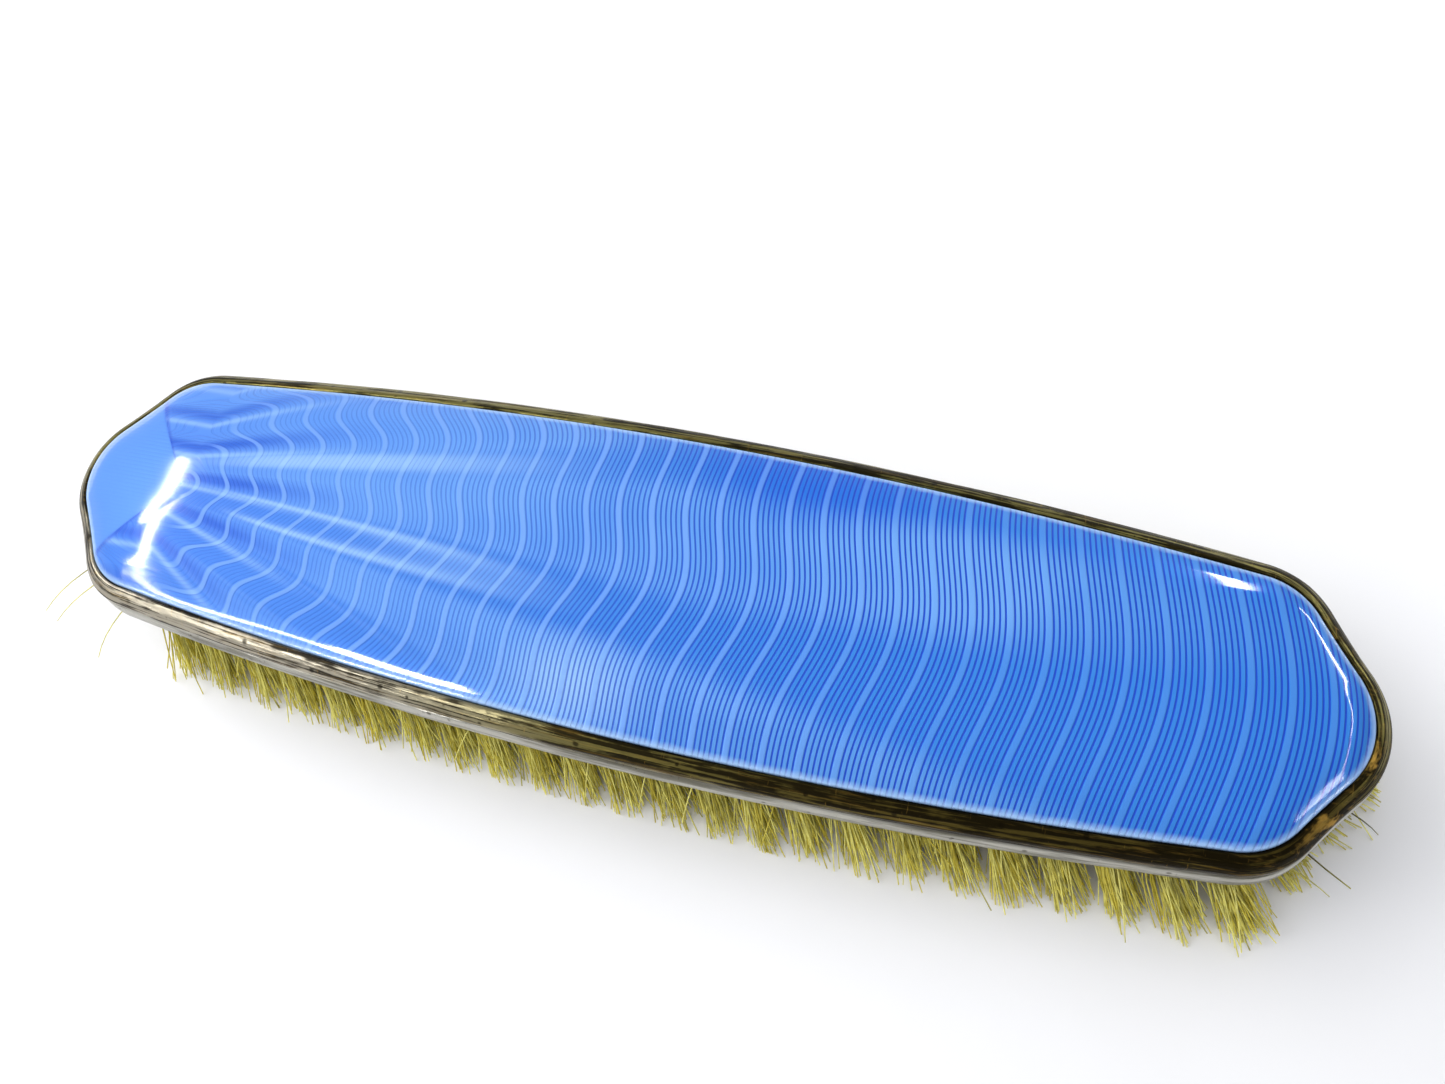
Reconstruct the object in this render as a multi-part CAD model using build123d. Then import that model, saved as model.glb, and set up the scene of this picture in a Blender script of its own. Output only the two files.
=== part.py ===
from build123d import *
from math import atan2, cos, sin, sqrt
import os

# Vanity hairbrush, in millimetres. The origin is the centre of the plane that the bristle tips
# rest on. +X runs along the brush and +Z points up through the enamelled back.

# Plan of the plaque: two bowed long sides, and two chamfers that meet in a nose at each end.
# The corner and the nose are given as sharp points, before they are rounded.
plaque_half_width = 19.7
corner_x = 73.2
corner_y = 15.25
nose_x = 84.35
nose_radius = 9.8
corner_radius = 8.5
plaque_hollow = 0.2

# The metal rim stands outside the plaque all round.
rim_width = 2.2
rim_hollow = 0.4

# Heights above the rest plane.
block_bottom = 13.7
block_top = 17.1
board_top = 17.9
plaque_edge = 20.0

# The plaque's fused layers, and its cushion shape as steps of inset and share of the rise.
enamel_thickness = 0.7
plate_thickness = 0.5
counter_thickness = 0.3
dome_rise = 3.0
dome_steps = [(0.0, 0.0), (0.8, 0.21), (2.2, 0.44), (4.6, 0.68), (8.0, 0.87), (12.0, 1.0)]

# The pressed metal moulding that holds the plaque.
ledge_width = 1.5
ledge_thickness = 0.6
riser_width = 0.6
flange_top = plaque_edge - 0.1
flange_edge = 18.4
flange_thickness = 0.7
bezel_wall = 0.6
bezel_bottom = 17.5

# The band round the side. Its neck stands inside the bezel and its lip holds the block.
neck_inset = 0.72
band_thickness = 0.55
neck_top = 17.85
band_top = 17.1
band_edge_drop = 0.15
bead_stand_out = 0.45
lip_width = 2.7
lip_thickness = 0.5

# The wooden block and board fit inside the band.
wood_inset = neck_inset + band_thickness + 0.05

# The bristles, drawn in tufts through a drilled field of bowed rows.
outer_row = 3
row_pitch = 5.2
row_bow = 0.2
tuft_pitch = 6.0
field_nose_x = 80.4
field_slope = 0.74
hole_radius = 1.5
hole_depth = 2.2
tuft_root_radius = 1.45
tuft_tip_radius = 2.6
side_lean = 6.0
end_lean = 5.0

# The drawing wire lies in a groove on top of the block, and is doubled where it goes down a hole.
wire_radius = 0.25
wire_groove_width = 0.6
wire_leg_radius = 0.4
wire_hole_radius = 0.45

rows = range(-outer_row, outer_row + 1)
hole_top = block_bottom + hole_depth
wire_height = block_top - wire_radius
counter_edge = plaque_edge - enamel_thickness - plate_thickness


def plan(hollow, inset):
    """Face of the eight-sided plan on the XY plane, inset evenly, with hollowed chamfers."""
    chamfer = atan2(corner_y, nose_x - corner_x)
    side = atan2(2 * (plaque_half_width - corner_y), corner_x)
    turn = sin(chamfer - side)
    cx = corner_x - inset * (cos(side) - cos(chamfer)) / turn
    cy = corner_y - inset * (sin(chamfer) - sin(side)) / turn
    nose = nose_x - inset / sin(chamfer)
    middle = plaque_half_width - inset
    hx = (nose + cx) / 2 - hollow * sin(chamfer)
    hy = cy / 2 - hollow * cos(chamfer)
    rounding = cy / corner_y
    with BuildSketch() as sketch:
        with BuildLine():
            ThreePointArc((-cx, cy), (0, middle), (cx, cy))
            ThreePointArc((cx, cy), (hx, hy), (nose, 0))
            ThreePointArc((nose, 0), (hx, -hy), (cx, -cy))
            ThreePointArc((cx, -cy), (0, -middle), (-cx, -cy))
            ThreePointArc((-cx, -cy), (-hx, -hy), (-nose, 0))
            ThreePointArc((-nose, 0), (-hx, hy), (-cx, cy))
        make_face()
        for end in (0, -1):
            fillet(sketch.vertices().group_by(Axis.X)[end], nose_radius * rounding)
        corners = [v for v in sketch.vertices() if abs(abs(v.X) - cx) < 0.01]
        fillet(corners, corner_radius * rounding)
    return sketch.face()


def plaque_plan(inset=0.0):
    return plan(plaque_hollow, inset)


def rim_plan(inset=0.0):
    return plan(rim_hollow, inset - rim_width)


def at_height(face, z):
    return Pos(0, 0, z) * face


def prism(face, low, high):
    return extrude(at_height(face, low), amount=high - low, dir=(0, 0, 1))


def ring(outer, inner, low, high):
    return prism(outer, low, high) - prism(inner, low - 1, high + 1)


def dome(edge_height, base_height, base_inset=0.0):
    """Solid from a flat base up to the plaque's cushion-shaped surface."""
    sections = [at_height(plaque_plan(inset), edge_height + dome_rise * share) for inset, share in dome_steps]
    return prism(plaque_plan(base_inset), base_height, edge_height) + loft(sections, ruled=True)


def dome_layer(top_edge, thickness):
    """Skin of even depth that follows the plaque's surface."""
    floor = top_edge - thickness
    return dome(top_edge, floor) - dome(floor, floor - 1)


def cement_bed():
    return dome(counter_edge - counter_thickness, board_top, ledge_width)


def bezel_frame():
    """Sloping flange round the plaque, with a wall outside and a ledge inside."""
    slope = loft([at_height(rim_plan(), flange_edge), at_height(plaque_plan(), flange_top)], ruled=True)
    flange = slope - Pos(0, 0, -flange_thickness) * slope
    flange -= prism(plaque_plan(), flange_edge - 1, flange_top + 1)
    outer_wall = ring(rim_plan(), rim_plan(bezel_wall), bezel_bottom, flange_edge)
    riser_top = flange_top - flange_thickness
    riser = ring(plaque_plan(-riser_width), plaque_plan(), board_top, riser_top)
    ledge = ring(plaque_plan(-riser_width), plaque_plan(ledge_width), board_top, board_top + ledge_thickness)
    return flange + outer_wall + riser + ledge


def skirt_band():
    """Beaded band round the rim, with a straight neck above and a turned-in lip below."""
    inner = -neck_inset - band_thickness
    lip_bottom = block_bottom - lip_thickness
    upper = band_top - band_edge_drop
    lower = lip_bottom + band_edge_drop
    edge = rim_plan().outer_wire()
    start = Plane(edge @ 0, x_dir=Vector(0, 0, 1).cross(edge % 0), z_dir=edge % 0)
    with BuildSketch(start) as section:
        with BuildLine():
            Polyline((0, upper), (-neck_inset, band_top), (-neck_inset, neck_top), (inner, neck_top))
            Polyline((inner, neck_top), (inner, block_bottom), (-lip_width, block_bottom))
            Polyline((-lip_width, block_bottom), (-lip_width, lip_bottom), (0, lip_bottom), (0, lower))
            ThreePointArc((0, lower), (bead_stand_out, (upper + lower) / 2), (0, upper))
        make_face()
    return sweep(section.sketch, edge)


def row_y(row, x):
    """Row line at x: straight along the middle, and bowed like the long side further out."""
    middle = abs(row) * row_pitch
    if row == 0:
        return 0.0
    sagitta = middle * row_bow
    radius = (corner_x ** 2 + sagitta ** 2) / (2 * sagitta)
    y = middle - radius + sqrt(radius ** 2 - x ** 2)
    return y if row > 0 else -y


def tuft_places(row):
    """Centres of a row's holes, staggered against the next row and cut off by the chamfers."""
    places = []
    x = 0.0 if row % 2 == 0 else tuft_pitch / 2
    while x <= field_nose_x - field_slope * abs(row_y(row, x)):
        places.append((x, row_y(row, x)))
        if x > 0:
            places.append((-x, row_y(row, x)))
        x += tuft_pitch
    return sorted(places)


def disc(x, y, radius):
    return (Pos(x, y, 0) * Circle(radius)).face()


def tuft(row, x, y):
    """One tuft: a round root in its hole, fanning out and leaning away from the middle."""
    share = row / outer_row
    lean_x = end_lean * (x / field_nose_x) ** 5
    lean_y = side_lean * share * sqrt(abs(share))
    root = at_height(disc(x, y, tuft_root_radius), block_bottom)
    fan = loft([disc(x + lean_x, y + lean_y, tuft_tip_radius), root], ruled=True)
    return fan + extrude(root, amount=hole_depth, dir=(0, 0, 1))


def tufts_row(row):
    return Compound([tuft(row, x, y).solid() for x, y in tuft_places(row)])


def row_path(row, z):
    end_x, end_y = tuft_places(row)[-1]
    if row == 0:
        return Line((-end_x, end_y, z), (end_x, end_y, z))
    return ThreePointArc((-end_x, end_y, z), (0, row_y(row, 0), z), (end_x, end_y, z))


def drawing_wire(row):
    """Wire along the top of the block, with a doubled leg down to the fold of each tuft."""
    path = row_path(row, wire_height)
    wire = sweep(Plane(path @ 0, z_dir=path % 0) * Circle(wire_radius), path)
    legs = [prism(disc(x, y, wire_leg_radius), hole_top, wire_height) for x, y in tuft_places(row)]
    return wire + legs


def wire_groove(row):
    path = row_path(row, block_top)
    upright = Plane(path @ 0, x_dir=(0, 0, 1), z_dir=path % 0)
    return sweep(upright * Rectangle(4 * wire_radius, wire_groove_width), path)


def bristle_block():
    """Wooden block with a hole for each tuft, a wire hole above it and a groove for each row."""
    cuts = [wire_groove(row) for row in rows]
    for row in rows:
        for x, y in tuft_places(row):
            cuts.append(prism(disc(x, y, hole_radius), block_bottom - 1, hole_top))
            cuts.append(prism(disc(x, y, wire_hole_radius), block_bottom, block_top + 1))
    return prism(rim_plan(wood_inset), block_bottom, block_top) - cuts


def row_name(row):
    return row + outer_row + 1


def all_pieces():
    pieces = {
        "enamel_panel": dome_layer(plaque_edge, enamel_thickness),
        "engine_turned_plate": dome_layer(plaque_edge - enamel_thickness, plate_thickness),
        "counter_enamel": dome_layer(counter_edge, counter_thickness),
        "cement_bed": cement_bed(),
        "bezel_frame": bezel_frame(),
        "skirt_band": skirt_band(),
        "backing_board": prism(rim_plan(wood_inset), block_top, board_top),
        "bristle_block": bristle_block(),
    }
    for row in rows:
        pieces[f"tufts_row_{row_name(row)}"] = tufts_row(row)
        pieces[f"drawing_wire_row_{row_name(row)}"] = drawing_wire(row)
    return pieces


os.makedirs("parts", exist_ok=True)
for name, piece in all_pieces().items():
    export_step(piece, f"parts/{name}.step")
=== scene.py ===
import bpy
import math
import numpy as np
from mathutils import Vector, Euler, Matrix, noise


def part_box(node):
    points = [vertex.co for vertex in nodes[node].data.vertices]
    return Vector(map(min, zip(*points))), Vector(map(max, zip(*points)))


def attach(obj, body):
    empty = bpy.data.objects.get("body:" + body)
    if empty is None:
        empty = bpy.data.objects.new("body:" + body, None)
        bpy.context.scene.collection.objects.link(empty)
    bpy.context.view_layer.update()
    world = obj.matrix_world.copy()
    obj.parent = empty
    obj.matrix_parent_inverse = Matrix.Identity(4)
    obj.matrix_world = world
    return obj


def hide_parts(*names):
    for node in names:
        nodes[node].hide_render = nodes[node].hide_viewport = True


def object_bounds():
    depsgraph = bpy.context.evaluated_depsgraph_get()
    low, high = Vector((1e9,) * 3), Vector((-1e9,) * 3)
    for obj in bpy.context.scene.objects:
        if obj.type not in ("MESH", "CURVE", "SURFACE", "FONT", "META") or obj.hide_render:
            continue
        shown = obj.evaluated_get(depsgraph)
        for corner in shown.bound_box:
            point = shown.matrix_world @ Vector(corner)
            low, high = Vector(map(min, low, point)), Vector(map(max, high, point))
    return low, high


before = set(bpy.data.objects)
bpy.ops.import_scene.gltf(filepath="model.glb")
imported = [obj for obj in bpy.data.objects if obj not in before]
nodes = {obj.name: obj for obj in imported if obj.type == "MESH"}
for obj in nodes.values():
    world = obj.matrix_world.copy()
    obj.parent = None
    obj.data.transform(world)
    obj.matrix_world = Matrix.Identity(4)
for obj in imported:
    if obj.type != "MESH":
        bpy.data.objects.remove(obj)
cadLow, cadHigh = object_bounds()
mm = 0.001
print("frame loaded, overall size in mm:", [round(size / mm, 1) for size in cadHigh - cadLow])

view = {
    "location": (0.0428, -0.04406, 0.14987),
    "target": (0.00783, 0.00688, 0.020),
    "roll": -20.6,          # degrees
    "lens": 29.25,
}


def makeCamera():
    data = bpy.data.cameras.new("camera")
    data.lens = view["lens"]
    data.clip_start = 0.005
    camera = bpy.data.objects.new("camera", data)
    camera.location = view["location"]
    aim = (Vector(view["target"]) - Vector(view["location"])).to_track_quat("-Z", "Y")
    camera.rotation_mode = "QUATERNION"
    camera.rotation_quaternion = aim @ Euler((0, 0, math.radians(view["roll"]))).to_quaternion()
    bpy.context.scene.collection.objects.link(camera)
    bpy.context.scene.camera = camera


makeCamera()
bpy.context.scene.view_settings.view_transform = "Standard"


# node tree helpers: a node goes into the tree that the sockets it is fed from belong to

def addNode(tree, kind, **settings):
    made = tree.nodes.new(kind)
    for key, value in settings.items():
        setattr(made, key, value)
    return made


def feed(socket, value):
    if isinstance(value, bpy.types.NodeSocket):
        socket.id_data.links.new(value, socket)
    else:
        socket.default_value = value


def feedAll(made, values):
    for label, value in values.items():
        feed(made.inputs[label], value)
    return made


def nodeFrom(kind, values, **settings):
    # a node with its first inputs fed in order
    tree = next(value.id_data for value in values if isinstance(value, bpy.types.NodeSocket))
    made = addNode(tree, kind, **settings)
    for socket, value in zip(made.inputs, values):
        feed(socket, value)
    return made


def calc(operation, *values, clamp=False):
    return nodeFrom("ShaderNodeMath", values, operation=operation, use_clamp=clamp).outputs[0]


def joiner(operation):
    # a function that joins any number of values with one operation, from the left
    def join(*values, clamp=False):
        result = values[0]
        for value in values[1:]:
            result = calc(operation, result, value, clamp=clamp)
        return result
    return join


plus, minus, times, over = [joiner(name) for name in ("ADD", "SUBTRACT", "MULTIPLY", "DIVIDE")]


def ramp(value, low, high, outLow=0.0, outHigh=1.0):
    values = (value, low, high, outLow, outHigh)
    return nodeFrom("ShaderNodeMapRange", values, interpolation_type="SMOOTHSTEP").outputs[0]


def bell(value):
    # 1 where the value is 0, falling off evenly on both sides
    return calc("EXPONENT", times(value, value, -1.0))


def mixNumber(factor, first, second):
    return plus(times(minus(1.0, factor), first), times(factor, second))


def mixColour(factor, first, second):
    made = addNode(factor.id_data, "ShaderNodeMix", data_type="RGBA")
    for index, value in ((0, factor), (6, first), (7, second)):
        feed(made.inputs[index], value)
    return made.outputs[2]


def vectorCalc(operation, *values):
    return nodeFrom("ShaderNodeVectorMath", values, operation=operation).outputs[0]


def scaleVector(vector, factor):
    made = addNode(vector.id_data, "ShaderNodeVectorMath", operation="SCALE")
    return feedAll(made, {0: vector, "Scale": factor}).outputs[0]


def combine(x, y, z):
    return nodeFrom("ShaderNodeCombineXYZ", (x, y, z)).outputs[0]


def split(vector):
    return tuple(nodeFrom("ShaderNodeSeparateXYZ", (vector,)).outputs)


def noiseAt(vector, scale, detail=3.0, roughness=0.5):
    values = {"Vector": vector, "Scale": scale, "Detail": detail, "Roughness": roughness}
    return feedAll(addNode(vector.id_data, "ShaderNodeTexNoise"), values).outputs["Fac"]


def stretch(vector, scale, **more):
    values = {"Vector": vector, "Scale": scale, **more}
    return feedAll(addNode(vector.id_data, "ShaderNodeMapping"), values).outputs[0]


def distanceFrom(vector, centre, squash):
    # how far a place is from a centre on the plan, with distances across the brush stretched
    flat = stretch(vector, (1, squash, 0))
    middle = (centre[0], centre[1] * squash, 0)
    return nodeFrom("ShaderNodeVectorMath", (flat, middle), operation="DISTANCE").outputs["Value"]


def readAttribute(tree, name, output="Fac"):
    return addNode(tree, "ShaderNodeAttribute", attribute_name=name).outputs[output]


def objectPlace(tree):
    return addNode(tree, "ShaderNodeTexCoord").outputs["Object"]


def colour(red, green, blue):
    # screen values to the linear ones that sockets take
    def linear(value):
        return value / 12.92 if value <= 0.04045 else ((value + 0.055) / 1.055) ** 2.4
    return (linear(red), linear(green), linear(blue), 1.0)


number, place = "NodeSocketFloat", "NodeSocketVector"


def newGroup(name, inputs, outputs):
    # a group that takes a place and some numbers, with their usual values, and gives numbers
    tree = bpy.data.node_groups.new(name, "ShaderNodeTree")
    tree.interface.new_socket("Place", in_out="INPUT", socket_type=place)
    for label, value in inputs.items():
        tree.interface.new_socket(label, in_out="INPUT", socket_type=number).default_value = value
    for label in outputs:
        tree.interface.new_socket(label, in_out="OUTPUT", socket_type=number)
    return tree, addNode(tree, "NodeGroupInput").outputs, addNode(tree, "NodeGroupOutput")


def placeGroup(group, spot, **values):
    made = addNode(spot.id_data, "ShaderNodeGroup", node_tree=group)
    return feedAll(made, {"Place": spot, **values}).outputs


def newMaterial(name):
    material = bpy.data.materials.new(name)
    material.use_nodes = True
    tree = material.node_tree
    return material, tree, tree.nodes["Principled BSDF"]


def bumpNormal(shader, height, distance):
    made = addNode(height.id_data, "ShaderNodeBump")
    feed(shader.inputs["Normal"], feedAll(made, {"Height": height, "Distance": distance}).outputs[0])


# effects that several finishes share

turningShape = {
    "plainStart": 0.12,         # where the fine lines start in a band, as a share of it
    "lines": 6,
    "fullWaves": 11.0,          # mm from the fan point where the waves reach their full depth
    "wedgeFrom": 130,           # degrees from the brush's line where the plain wedge starts
    "hatchPitch": 0.55,         # mm between the straight lines of the wedge
    "rayPitch": 0.236,          # radians between the light rays near the fan point
    "rayShift": 0.026,
}


def makeTurningGroup():
    # engine turning: rings round a fan point, waved by rays from a point further back, fine
    # lines in each band, and a plain wedge behind the fan; lengths are in mm
    shape = turningShape
    tree, start, end = newGroup("engineTurning", {
        "FanX": 0.0, "FanY": 0.0, "WaveX": 0.0, "WaveY": 0.0, "Waves": 20.0, "WaveDepth": 1.0,
        "BandPitch": 4.0, "LinePitch": 0.15, "GlintAngle": 0.0, "GlintTurn": 0.0, "GlintWidth": 0.1,
    }, ["Lines", "Band", "Glint", "Sheen", "Wedge", "WedgeEdge", "Radius", "ShadeCell", "Ray"])
    x, y, z = split(stretch(start["Place"], (1000, 1000, 1000)))

    def polar(atX, centreX, centreY):
        acrossX, acrossY = minus(atX, centreX), minus(y, centreY)
        squares = plus(times(acrossX, acrossX), times(acrossY, acrossY))
        return calc("SQRT", squares), calc("ARCTAN2", acrossY, acrossX)

    radius, angle = polar(x, start["FanX"], start["FanY"])
    level = calc("MAXIMUM", x, start["FanX"])       # behind the fan the waves keep their pitch
    waveRadius, waveAngle = polar(level, start["WaveX"], start["WaveY"])
    turn = times(waveAngle, start["Waves"])
    depth = times(start["WaveDepth"], ramp(radius, 1.0, shape["fullWaves"], 0.25, 1.0))
    band = over(minus(radius, times(calc("COSINE", turn), depth)), start["BandPitch"])
    inBand = calc("FRACT", plus(band, 0.5))
    line = over(minus(inBand, shape["plainStart"]), start["LinePitch"])
    cut = ramp(calc("COSINE", times(line, 2 * math.pi)), 0.15, 0.80)
    ruled = times(calc("GREATER_THAN", line, -0.5), calc("LESS_THAN", line, shape["lines"] - 0.5))
    fromMiddle = calc("ABSOLUTE", minus(calc("FRACT", band), 0.5))
    plain = ramp(fromMiddle, 0.05, 0.10, 1.0, 0.0)
    # the way the cut lines face, for the sheen and the narrow glints off them
    steep = times(calc("SINE", turn), start["Waves"], over(start["WaveDepth"], waveRadius))
    facing = plus(angle, calc("ARCTANGENT", steep))
    aim = plus(start["GlintAngle"], times(y, start["GlintTurn"]))
    wide = plus(start["GlintWidth"], over(2.2, radius))
    glint = times(bell(over(minus(facing, aim), wide)), ramp(angle, -0.36, -0.20, 0.12, 1.0))
    later = times(calc("MAXIMUM", minus(x, 10.0), 0.0), 0.0062)
    tilt = times(calc("POWER", over(calc("ABSOLUTE", y), 15.0), 3.0), times(calc("SIGN", y), 0.21))
    sheen = ramp(minus(facing, later, tilt), -0.30, 0.02)
    # near the fan every ray is a painted light strip with a painted dark cell of shade on its far side
    phase = calc("FRACT", plus(over(plus(waveAngle, shape["rayShift"]), shape["rayPitch"]), 0.5))
    ray = bell(over(minus(phase, 0.5), 0.075))
    cell = bell(over(minus(phase, 0.80), 0.15))
    closeBy = ramp(radius, 6.0, 30.0, 1.0, 0.0)
    # behind the fan: fine straight lines along the brush
    turned = calc("ABSOLUTE", angle)
    wedgeFrom = math.radians(shape["wedgeFrom"])
    wedge = ramp(turned, wedgeFrom, wedgeFrom + math.radians(1.5))
    hatch = ramp(calc("COSINE", times(y, 2 * math.pi / shape["hatchPitch"])), 0.0, 0.9)
    front = minus(1.0, wedge)
    ahead = ramp(turned, math.radians(58), math.radians(85), 1.0, 0.15)
    feedAll(end, {
        "Lines": plus(times(cut, ruled, front), times(hatch, 0.3, wedge)),
        "Band": times(plain, times(ahead, front)),
        "Glint": times(glint, front),
        "Sheen": sheen,
        "Wedge": wedge,
        "WedgeEdge": ramp(calc("ABSOLUTE", minus(turned, wedgeFrom)), 0.0, 0.05, 1.0, 0.0),
        "Radius": radius,
        "ShadeCell": times(cell, closeBy, front),
        "Ray": times(ray, closeBy, front),
    })
    return tree


def makeSpotsGroup():
    # scattered small blotches, as of tarnish or dirt
    tree, start, end = newGroup("spots", {"Scale": 100.0, "Size": 0.1, "Share": 0.5}, ["Mask"])
    cell = addNode(tree, "ShaderNodeTexVoronoi")
    feedAll(cell, {"Vector": start["Place"], "Scale": start["Scale"]})
    picks = nodeFrom("ShaderNodeSeparateColor", (cell.outputs["Color"],)).outputs
    chosen = calc("LESS_THAN", picks[0], start["Share"])
    reach = times(start["Size"], plus(picks[1], 0.3))
    near = ramp(over(cell.outputs["Distance"], reach), 0.4, 1.0, 1.0, 0.0)
    feed(end.inputs["Mask"], times(chosen, near))
    return tree


def makeScratchGroup():
    # fine scratches and rubbed streaks that run along the brush
    tree, start, end = newGroup("scratches", {"Scale": 1.0, "Amount": 0.5}, ["Mask", "Height"])
    scaled = scaleVector(start["Place"], start["Scale"])
    long = noiseAt(stretch(scaled, (90, 1400, 2600)), 1.0, 4.0, 0.65)
    across = noiseAt(stretch(scaled, (2200, 160, 900), Rotation=(0.2, 0.1, 0.7)), 1.0, 2.0, 0.6)
    both = plus(ramp(long, 0.52, 0.70), ramp(across, 0.66, 0.74))
    feed(end.inputs["Mask"], times(both, start["Amount"], clamp=True))
    feed(end.inputs["Height"], plus(long, times(across, 0.5)))
    return tree


def spotsAt(spot, scale, size, share):
    return placeGroup(spots, spot, Scale=scale, Size=size, Share=share)["Mask"]


turning = makeTurningGroup()
spots = makeSpotsGroup()
scratches = makeScratchGroup()
print("shared effects made")

# finishes

enamelLook = {
    "fan": (-65.24, -1.02),     # mm, where the rings start
    "waveFrom": (-83.32, -0.60),
    "waves": 26.07,
    "waveDepth": 0.883,
    "bandPitch": 4.231,
    "linePitch": 0.152,         # share of a band
    "glintAngle": -0.30,
    "glintTurn": 0.0157,        # how much the glint's direction turns for each mm across
    "glintWidth": 0.045,
    # lit and shaded copies of the enamel's blue, for the painted sheen
    "farLitTone": colour(0.365, 0.595, 0.920),
    "nearLitTone": colour(0.400, 0.640, 0.910),
    "farShadedTone": colour(0.235, 0.500, 0.885),
    "nearShadedTone": colour(0.160, 0.500, 0.850),
    "lineTone": colour(0.00, 0.26, 0.76),
    "bandTone": colour(0.46, 0.64, 0.945),
    "glintTone": colour(0.66, 0.82, 0.99),
    "borderTone": colour(0.68, 0.81, 0.95),
    "chip": (0.0418, -0.0188),      # m
    "chipTone": colour(0.16, 0.20, 0.16),
    "dirt": colour(0.10, 0.28, 0.42),
    "cellShadeTone": colour(0.10, 0.37, 0.81),
    "lightPool": ((-0.004, -0.0150), 0.013, 0.60),       # a painted pool of light: where and how far, in m, and how strong
    "shade": ((0.017, 0.0165), 0.022, 0.92),        # a patch of painted shade, likewise
    "shadeTone": colour(0.0, 0.42, 0.85),
}


def turnedLines(spot, *more):
    # the engine turning with the enamel's values, and with those named besides
    look = enamelLook
    keys = ("waves", "waveDepth", "bandPitch", "linePitch", *more)
    values = {key[0].upper() + key[1:]: look[key] for key in keys}
    return placeGroup(turning, spot, FanX=look["fan"][0], FanY=look["fan"][1], WaveX=look["waveFrom"][0],
                      WaveY=look["waveFrom"][1], **values)


def patchOn(body, spot, patch, squash, start, tone):
    where, far, strong = patch
    return mixColour(ramp(distanceFrom(spot, where, squash), start, far, strong, 0.0), body, tone)


def enamelMaterial():
    look = enamelLook
    material, tree, shader = newMaterial("blueEnamel")
    spot = objectPlace(tree)
    cut = turnedLines(spot, "glintAngle", "glintTurn", "glintWidth")
    inset = readAttribute(tree, "fromEdge")
    x, y, z = split(spot)
    along = ramp(x, -0.055, 0.035)
    lit = mixColour(along, look["farLitTone"], look["nearLitTone"])
    sheenShadedTone = mixColour(along, look["farShadedTone"], look["nearShadedTone"])
    cloud = noiseAt(stretch(spot, (34, 60, 40)), 1.0, 2.0, 0.5)
    sheen = times(cut["Sheen"], ramp(cloud, 0.34, 0.62, 1.0, 0.55))
    # painted sheen: the lit and shaded tones mixed by the way the cut lines face; the wedge keeps an even
    # mix
    body = mixColour(mixNumber(cut["Wedge"], sheen, 0.5), sheenShadedTone, lit)
    # painted shade: darker all round near the fan, and darker still in the cells
    nearFanShade = times(ramp(cut["Radius"], 4.0, 20.0, 0.32, 0.0), minus(1.0, cut["Wedge"]))
    body = mixColour(plus(nearFanShade, times(cut["ShadeCell"], 0.8), clamp=True), body, look["cellShadeTone"])
    # a painted pool of light and a patch of painted shade on the glaze
    body = patchOn(body, spot, look["lightPool"], 1.7, 0.0, look["glintTone"])
    body = patchOn(body, spot, look["shade"], 2.6, 0.004, look["shadeTone"])
    lined = mixColour(times(cut["Lines"], ramp(x, -0.060, 0.030, 0.10, 1.0)), body, look["lineTone"])
    bandDepth = ramp(x, -0.01, 0.050, 0.62, 0.18)
    banded = mixColour(times(cut["Band"], bandDepth), lined, look["bandTone"])
    fade = times(ramp(cut["Radius"], 25.0, 64.0, 0.60, 0.0), ramp(cut["Radius"], 0.0, 14.0, 0.1, 1.0))
    glow = calc("MAXIMUM", times(cut["Glint"], fade), times(cut["Ray"], 0.42))
    shone = mixColour(glow, banded, look["glintTone"])
    dark = mixColour(times(cut["WedgeEdge"], 0.5), shone, look["lineTone"])
    speck = times(spotsAt(spot, 160.0, 0.07, 0.05), 0.6)
    smudge = times(spotsAt(spot, 75.0, 0.10, 0.30), 0.28)
    specked = mixColour(calc("MAXIMUM", speck, smudge), dark, look["dirt"])
    ragged = plus(inset, times(noiseAt(spot, 900.0), 0.5))
    border = ramp(ragged, 0.35, 1.25, 0.75, 0.0)
    edged = mixColour(border, specked, look["borderTone"])
    # one small chip at the near edge, with dirt in it
    crumble = times(noiseAt(spot, 2200.0), 0.0016)
    fromChip = plus(distanceFrom(spot, look["chip"], 1.6), crumble)
    edged = mixColour(ramp(fromChip, 0.0014, 0.0021, 0.85, 0.0), edged, look["chipTone"])
    feedAll(shader, {
        "Base Color": edged,
        # a little ground glass scatters at the edge, so only the turned field looks metallic
        "Metallic": times(minus(1.0, border), 0.10),
        "Roughness": 0.34,
        "Specular IOR Level": 0.1,
        "Coat Weight": 1.0,
        "Coat Roughness": 0.07,
        "Coat IOR": 1.5,
    })
    bumpNormal(shader, minus(times(cut["Band"], 0.6), cut["Lines"]), 0.00004)
    return material


rimLook = {
    "silver": colour(0.66, 0.63, 0.56),
    "olive": colour(0.50, 0.47, 0.27),
    "bronze": colour(0.36, 0.31, 0.14),
    "black": colour(0.10, 0.08, 0.04),
    "gold": colour(0.88, 0.70, 0.32),
}


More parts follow.
